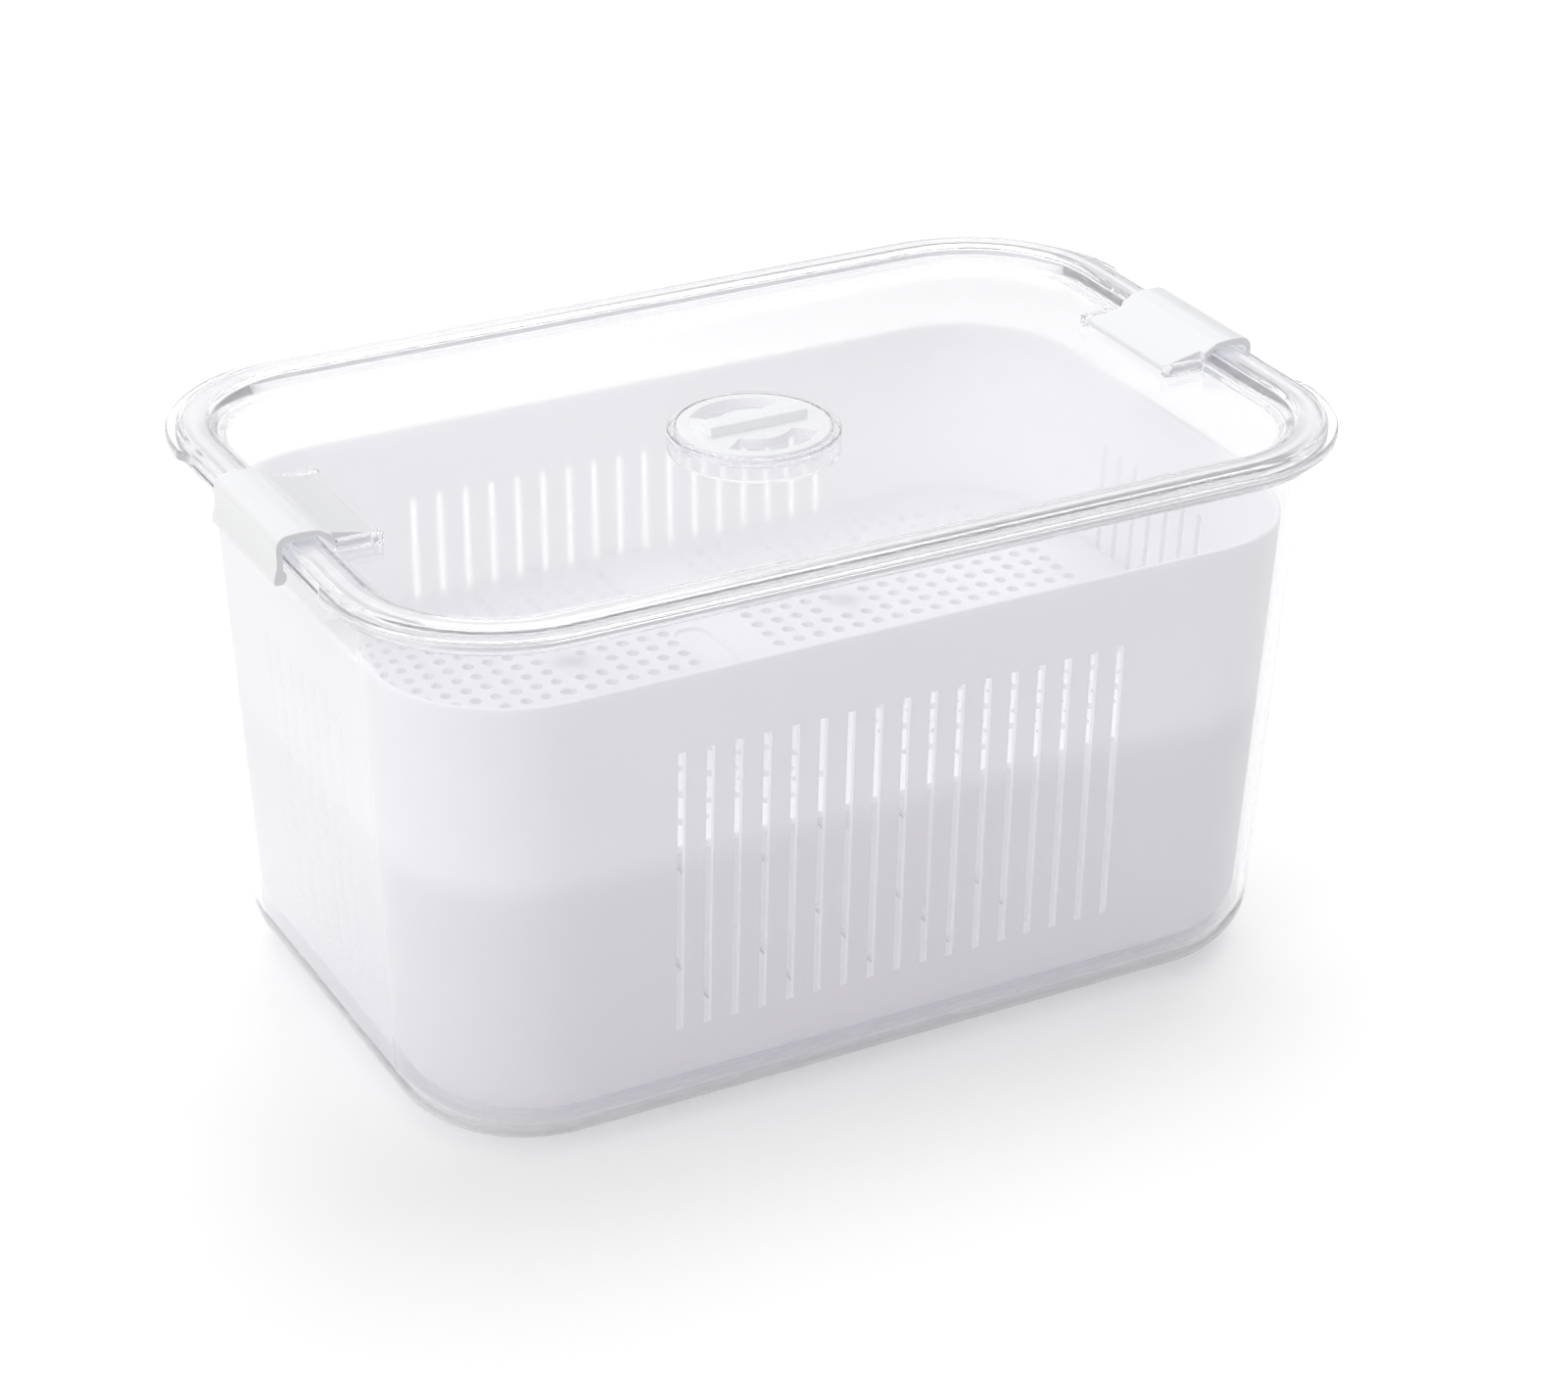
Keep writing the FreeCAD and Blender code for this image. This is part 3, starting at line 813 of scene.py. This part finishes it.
# Vent dial
# White disc that turns in the well of the lid, with a grip bar across it and two curved windows.
# A snap stem through the floor of the well holds it down.
dial_low, dial_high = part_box("vent_dial")
dial_radius = dial_high.x
dial_top = panel_top + 0.9 * mm
dial_under = well_bed + 0.3 * mm
dial_easing = 0.5 * mm
dial_window_inner = 9.7 * mm
dial_window_outer = 17.0 * mm
dial_window_angle = math.radians(100)
bar_half_long = 14.0 * mm
bar_half_short = 3.0 * mm
bar_easing = 0.5 * mm
stem_radius = 4.0 * mm
snap_radius = 5.0 * mm
snap_height = 1.3 * mm
snap_easing = 0.3 * mm
stem_tip_easing = 0.5 * mm
dial_colour = (0.98, 0.983, 0.986, 1)
dial_roughness = (0.25, 0.38)
dial_grain = 0.03 * mm
dial_passing = 0.4
dial_mesh = bmesh.new()
dial_outline = eased([
    (dial_radius - 2 * dial_easing, dial_under, 0),
    (dial_radius, dial_under, dial_easing),
    (dial_radius, dial_top, dial_easing),
    (dial_radius - 2 * dial_easing, dial_top, 0),
])
dial_rows = skin(dial_mesh, [ring_points(0, 0, radius, level, well_sides)
                             for radius, level in dial_outline])
dial_windows = [skin(dial_mesh, [
    sector_points(dial_window_inner, dial_window_outer, middle, dial_window_angle, level)
    for level in (dial_under, dial_top)
], smooth=False) for middle in (quarter_turn, -quarter_turn)]
stem_outline = eased([
    (stem_radius, dial_under, 0),
    (stem_radius, dial_low.z + snap_height, 0),
    (snap_radius, dial_low.z + snap_height, snap_easing),
    (snap_radius, dial_low.z, stem_tip_easing),
    (stem_radius / 2, dial_low.z, 0),
])
stem_rows = skin(dial_mesh, [ring_points(0, 0, radius, level, well_sides)
                             for radius, level in stem_outline])
flat_sheet(dial_mesh, stem_rows[-1])
flat_sheet(dial_mesh, dial_rows[0], [rows[0] for rows in dial_windows] + [stem_rows[0]])
flat_sheet(dial_mesh, dial_rows[-1], [rows[1] for rows in dial_windows])
block(dial_mesh, (-bar_half_long, -bar_half_short, dial_top - bar_easing),
      (bar_half_long, bar_half_short, dial_high.z), bar_easing)
dial_white = moulded_white("white dial plastic", dial_colour, *dial_roughness, dial_grain, dial_passing)
white_dial = make_piece("white_dial", dial_mesh, dial_white)
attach(white_dial, "vent_dial")
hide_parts("vent_dial")

# Floor
# Seamless pale paper that the keeper stands on. It takes the keeper's soft shadow.
# Its white is lifted a little where the camera or clear plastic shows it. Under the foot the lift is cut
# back, as a painted shade.
floor_reach = 6.0
floor_gap = 0.05 * mm
paper_colour = (0.82, 0.82, 0.81, 1)
paper_lift = 0.33
painted_shade_level = 0.55


def seen_ray(nodes, links):
    """1 for rays that show a backdrop: straight from the camera, mirrored or through clear plastic."""
    path = nodes.new("ShaderNodeLightPath")
    mirrored = nodes.new("ShaderNodeMath")
    mirrored.operation = "MAXIMUM"
    links.new(path.outputs["Is Camera Ray"], mirrored.inputs[0])
    links.new(path.outputs["Is Glossy Ray"], mirrored.inputs[1])
    seen = nodes.new("ShaderNodeMath")
    seen.operation = "MAXIMUM"
    links.new(mirrored.outputs[0], seen.inputs[0])
    links.new(path.outputs["Is Transmission Ray"], seen.inputs[1])
    return seen.outputs[0]


floor_mesh = bmesh.new()
bmesh.ops.create_grid(floor_mesh, x_segments=1, y_segments=1, size=floor_reach)
floor_data = bpy.data.meshes.new("floor")
floor_mesh.to_mesh(floor_data)
floor_mesh.free()
floor = bpy.data.objects.new("floor", floor_data)
floor.location.z = -floor_gap
bpy.context.scene.collection.objects.link(floor)
floor_paper = bpy.data.materials.new("floor paper")
floor_paper.use_nodes = True
floor_nodes = floor_paper.node_tree.nodes
floor_links = floor_paper.node_tree.links
paper = floor_nodes["Principled BSDF"]
paper.inputs["Base Color"].default_value = paper_colour
paper.inputs["Roughness"].default_value = 0.8
paper.inputs["Specular IOR Level"].default_value = 0.1
# Painted shade: the paper's lift fades to a lower level under the bin's foot, and is darkest inside the
# rounded edge of the base.
foot_place = floor_nodes.new("ShaderNodeTexCoord")
foot_fold = floor_nodes.new("ShaderNodeVectorMath")
foot_fold.operation = "ABSOLUTE"
floor_links.new(foot_place.outputs["Object"], foot_fold.inputs[0])
foot_core = floor_nodes.new("ShaderNodeVectorMath")
foot_core.operation = "SUBTRACT"
base_half_long, base_half_short, base_corner = bin_size(0)
foot_core.inputs[1].default_value = (base_half_long - base_corner, base_half_short - base_corner, 1)
floor_links.new(foot_fold.outputs["Vector"], foot_core.inputs[0])
foot_past = floor_nodes.new("ShaderNodeVectorMath")
foot_past.operation = "MAXIMUM"
floor_links.new(foot_core.outputs["Vector"], foot_past.inputs[0])
foot_reach = floor_nodes.new("ShaderNodeVectorMath")
foot_reach.operation = "LENGTH"
floor_links.new(foot_past.outputs["Vector"], foot_reach.inputs[0])
painted_foot_shade = floor_nodes.new("ShaderNodeMapRange")
painted_foot_shade.inputs["From Min"].default_value = base_corner - base_rounding
painted_foot_shade.inputs["From Max"].default_value = base_corner
painted_foot_shade.inputs["To Min"].default_value = painted_shade_level
floor_links.new(foot_reach.outputs["Value"], painted_foot_shade.inputs["Value"])
paper_white = floor_nodes.new("ShaderNodeMath")
paper_white.operation = "MULTIPLY"
floor_links.new(painted_foot_shade.outputs["Result"], paper_white.inputs[0])
floor_links.new(seen_ray(floor_nodes, floor_links), paper_white.inputs[1])
floor_links.new(paper_white.outputs[0], paper.inputs["Emission Color"])
paper.inputs["Emission Strength"].default_value = paper_lift
floor_data.materials.append(floor_paper)

# Studio light
# One soft box on the left and one overhead, in a white room that gives less light at the front right.
# A small grey card low behind on the right draws a grey line along the clear edges.
world = bpy.data.worlds.new("studio")
bpy.context.scene.world = world
world.use_nodes = True
world_nodes = world.node_tree.nodes
world_links = world.node_tree.links
room_light = 0.7
front_dim = 0.2
room_front = Vector((0.55, -0.7, 0.45))
front_spread = (0.4, 0.85)
card_place = Vector((0.568, 0.781, 0.259))
card_rim = (math.cos(math.radians(14)), math.cos(math.radians(10)))
card_top = (0.39, 0.34)
card_dim = 0.25
straight_up = Vector((0, 0, 1))


def soft_box(name, place, width, height, power):
    """Flat lamp turned towards the keeper."""
    lamp = bpy.data.lights.new(name, "AREA")
    lamp.shape = "RECTANGLE"
    lamp.size = width
    lamp.size_y = height
    lamp.energy = power
    made = bpy.data.objects.new(name, lamp)
    made.location = place
    towards = Vector((0, 0, bin_height / 2)) - Vector(place)
    made.rotation_euler = towards.to_track_quat("-Z", "Y").to_euler()
    bpy.context.scene.collection.objects.link(made)


def spread_over(source, start, end, low, high):
    """Turns a value between two limits into a level between two others."""
    spread = world_nodes.new("ShaderNodeMapRange")
    spread.inputs["From Min"].default_value = start
    spread.inputs["From Max"].default_value = end
    spread.inputs["To Min"].default_value = low
    spread.inputs["To Max"].default_value = high
    world_links.new(source, spread.inputs["Value"])
    return spread.outputs["Result"]


def facing(place):
    """Cosine of the angle between what a ray meets and one direction."""
    turned = world_nodes.new("ShaderNodeVectorMath")
    turned.operation = "DOT_PRODUCT"
    turned.inputs[1].default_value = place.normalized()
    world_links.new(direction.outputs["Generated"], turned.inputs[0])
    return turned.outputs["Value"]


direction = world_nodes.new("ShaderNodeTexCoord")
card_side = spread_over(facing(card_place), *card_rim, 0, 1)
card_low = spread_over(facing(straight_up), *card_top, 0, 1)
card = world_nodes.new("ShaderNodeMath")
card.operation = "MULTIPLY"
world_links.new(card_side, card.inputs[0])
world_links.new(card_low, card.inputs[1])
strength = world_nodes.new("ShaderNodeMix")
world_links.new(seen_ray(world_nodes, world_links), strength.inputs["Factor"])
fill = spread_over(facing(room_front), *front_spread, room_light, room_light * front_dim)
world_links.new(fill, strength.inputs["A"])
world_links.new(spread_over(card.outputs[0], 0, 1, 1, card_dim), strength.inputs["B"])
world_links.new(strength.outputs["Result"], world_nodes["Background"].inputs["Strength"])
world_nodes["Background"].inputs["Color"].default_value = (1, 1, 1, 1)
soft_box("side_box", place=(-1.6, -0.2, 0.7), width=1.2, height=1.2, power=5.3)
soft_box("top_box", place=(0.4, 0.5, 1.55), width=1.1, height=1.1, power=11)

# Camera
# Stands to the left of the front and looks down on the keeper with a long lens.
# Light may pass many clear faces before it reaches the lens, so the bounces are set high.
photo_width = 1601
photo_focal = 4064
sensor_width = 36.0
view_azimuth = math.radians(-28.58)
view_elevation = math.radians(27.40)
view_distance = 1045.8 * mm
view_roll = math.radians(0.64)
view_shift_right = 8.36 * mm
view_target = Vector((0, 0, 70.5 * mm))
clear_bounces = 96
matt_bounces = 20
shadow_layers = 32
camera_data = bpy.data.cameras.new("camera")
camera_data.sensor_width = sensor_width
camera_data.lens = photo_focal / photo_width * sensor_width
camera = bpy.data.objects.new("camera", camera_data)
view_back = Vector((math.sin(view_azimuth) * math.cos(view_elevation),
                    -math.cos(view_azimuth) * math.cos(view_elevation),
                    math.sin(view_elevation)))
view_right = Vector((math.cos(view_azimuth), math.sin(view_azimuth), 0))
view_up = view_back.cross(view_right)
rolled_right = view_right * math.cos(view_roll) + view_up * math.sin(view_roll)
rolled_up = view_up * math.cos(view_roll) - view_right * math.sin(view_roll)
eye = view_target + view_right * view_shift_right + view_back * view_distance
turn = Matrix((rolled_right, rolled_up, view_back)).transposed().to_4x4()
camera.matrix_world = Matrix.Translation(eye) @ turn
bpy.context.scene.collection.objects.link(camera)
bpy.context.scene.camera = camera
bpy.context.scene.view_settings.view_transform = "Standard"
bpy.context.scene.cycles.max_bounces = clear_bounces
bpy.context.scene.cycles.diffuse_bounces = matt_bounces
bpy.context.scene.cycles.glossy_bounces = clear_bounces
bpy.context.scene.cycles.transmission_bounces = clear_bounces
bpy.context.scene.cycles.transparent_max_bounces = shadow_layers
bpy.context.scene.cycles.caustics_reflective = False
bpy.context.scene.cycles.caustics_refractive = False
